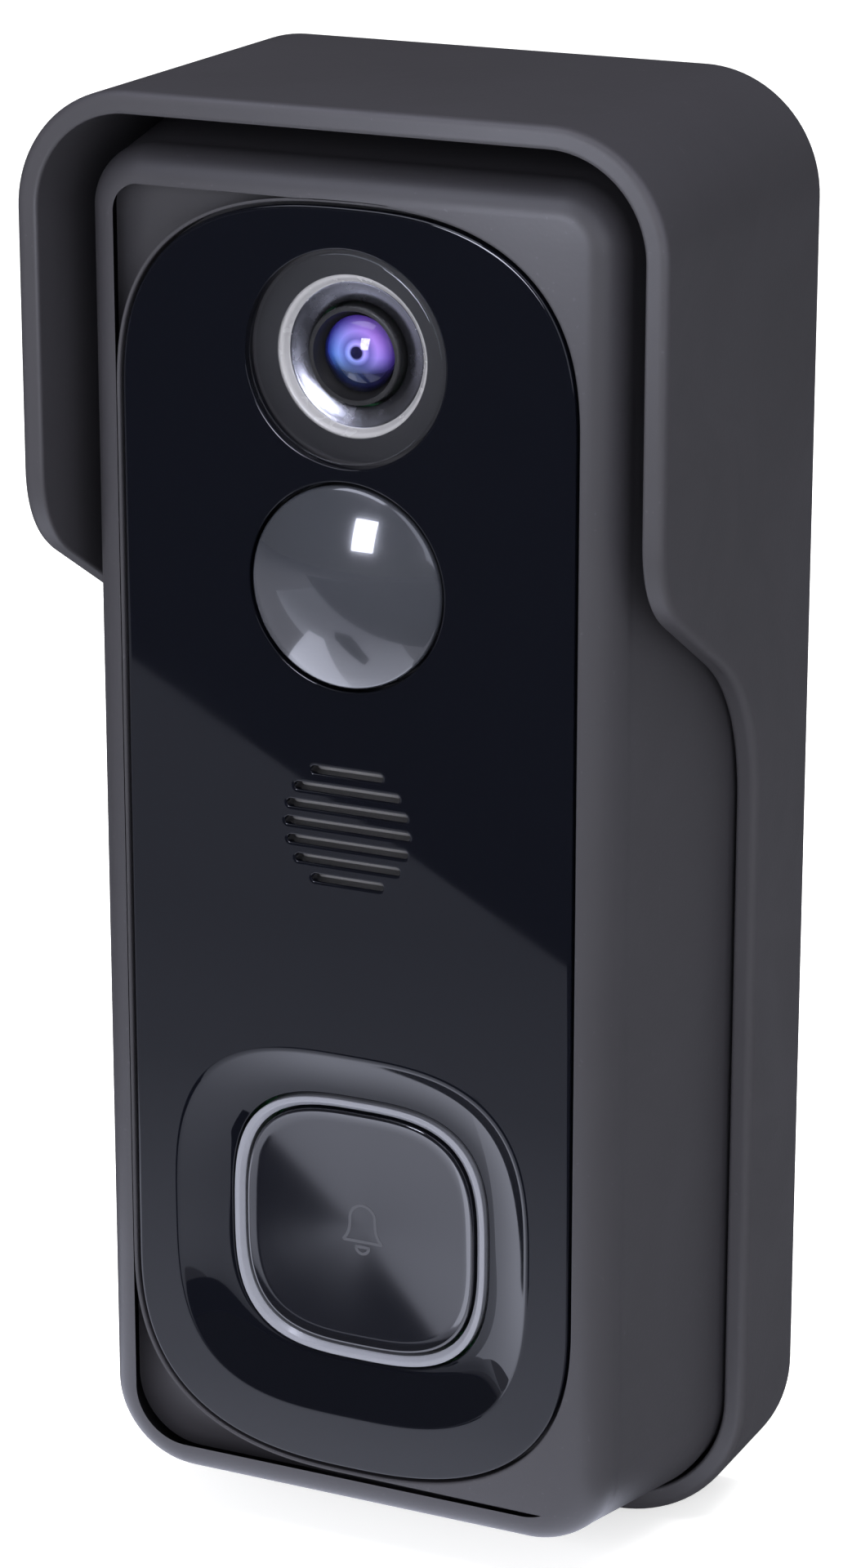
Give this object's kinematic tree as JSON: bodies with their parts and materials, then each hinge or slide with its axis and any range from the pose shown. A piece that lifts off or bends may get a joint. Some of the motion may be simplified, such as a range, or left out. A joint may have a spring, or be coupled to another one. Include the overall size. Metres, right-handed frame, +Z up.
{
  "type": "video doorbell",
  "caption": "Battery video doorbell in a hooded rain cover: gloss front with camera, motion sensor dome, speaker slots and a lit call button.",
  "frame": {"origin": "middle of the flat back of the rain cover, on the wall", "axes": "+X to the right of someone facing the bell, +Y into the wall, +Z up"},
  "size_m": [0.066, 0.0378, 0.146],
  "materials": {
    "cover_plastic": "moulded, fine spark-eroded texture",
    "housing_plastic": "moulded, satin",
    "bracket_plastic": "moulded, matte",
    "panel_gloss": "polished black",
    "button_gloss": "polished black",
    "light_guide": "milky light guide",
    "window_glass": "clear, printed black round its edge",
    "lens_glass": "coated lens",
    "bezel_metal": "satin turned",
    "barrel_black": "black, ribbed",
    "sensor_dome": "translucent grey",
    "can_metal": "plated",
    "board_green": "solder mask",
    "chip_black": "moulded package",
    "led_lens": "clear resin",
    "speaker_cone": "black film cone",
    "silicone": "soft, matte",
    "antenna_film": "copper film",
    "contact_metal": "nickel plated",
    "cell_wrap": "shrink-wrapped cell",
    "screw_steel": "zinc plated",
    "terminal_brass": "plain"
  },
  "bodies": {
    "wall_mount": {"mounting_bracket": "bracket_plastic", "rain_cover": "cover_plastic"},
    "doorbell": {"battery_cell_1": "cell_wrap", "battery_cell_2": "cell_wrap", "battery_contact_1": "contact_metal", "battery_contact_2": "contact_metal", "battery_cover": "housing_plastic", "battery_cover_screw": "screw_steel", "battery_seal": "silicone", "battery_spring_1": "contact_metal", "battery_spring_2": "contact_metal", "button_seal": "silicone", "button_switch": "chip_black", "camera_bezel": "bezel_metal", "camera_board": "board_green", "camera_window": "window_glass", "flap_pin": "screw_steel", "front_housing": "housing_plastic", "front_panel": "panel_gloss", "housing_screw_1": "screw_steel", "housing_screw_2": "screw_steel", "housing_screw_3": "screw_steel", "housing_screw_4": "screw_steel", "housing_seal": "silicone", "image_sensor": "chip_black", "ir_led_1": "led_lens", "ir_led_2": "led_lens", "ir_led_3": "led_lens", "ir_led_4": "led_lens", "ir_led_board": "board_green", "lens_barrel": "barrel_black", "lens_element": "lens_glass", "lens_holder": "barrel_black", "light_ring": "light_guide", "light_sensor": "led_lens", "main_board": "board_green", "microphone": "can_metal", "pir_dome": "sensor_dome", "pir_sensor": "can_metal", "port_board": "board_green", "rear_housing": "housing_plastic", "reset_switch": "chip_black", "rf_shield": "can_metal", "ring_led_1": "led_lens", "ring_led_2": "led_lens", "ring_led_3": "led_lens", "ring_led_4": "led_lens", "security_screw": "screw_steel", "speaker": "speaker_cone", "speaker_gasket": "silicone", "terminal_screw_1": "terminal_brass", "terminal_screw_2": "terminal_brass", "usb_socket": "can_metal", "wifi_antenna": "antenna_film"},
    "button": {"button_cap": "button_gloss"},
    "plunger": {"switch_plunger": "silicone"},
    "port_flap": {"usb_flap": "silicone"},
    "reset": {"reset_button": "silicone"}
  },
  "joints": [
    {"name": "unit_release", "type": "slide", "parent": "wall_mount", "child": "doorbell", "axis": [0, -1, 0], "range_m": [0, 0.06]},
    {"name": "button_press", "type": "slide", "parent": "doorbell", "child": "button", "axis": [0, 1, 0], "range_m": [0, 0.0005], "stiffness_N_per_m": 1500},
    {"name": "plunger_press", "type": "slide", "parent": "doorbell", "child": "plunger", "axis": [0, 1, 0], "range_m": [0, 0.0005]},
    {"name": "flap_open", "type": "hinge", "parent": "doorbell", "child": "port_flap", "pos_m": [0, -0.0178, -0.06856], "axis": [1, 0, 0], "range_deg": [0, 100]},
    {"name": "reset_press", "type": "slide", "parent": "doorbell", "child": "reset", "axis": [0, 0, 1], "range_m": [0, 0.0004], "stiffness_N_per_m": 1500}
  ],
  "couplings": [
    {"joint": "plunger_press", "follows": "button_press", "ratio": 1}
  ]
}
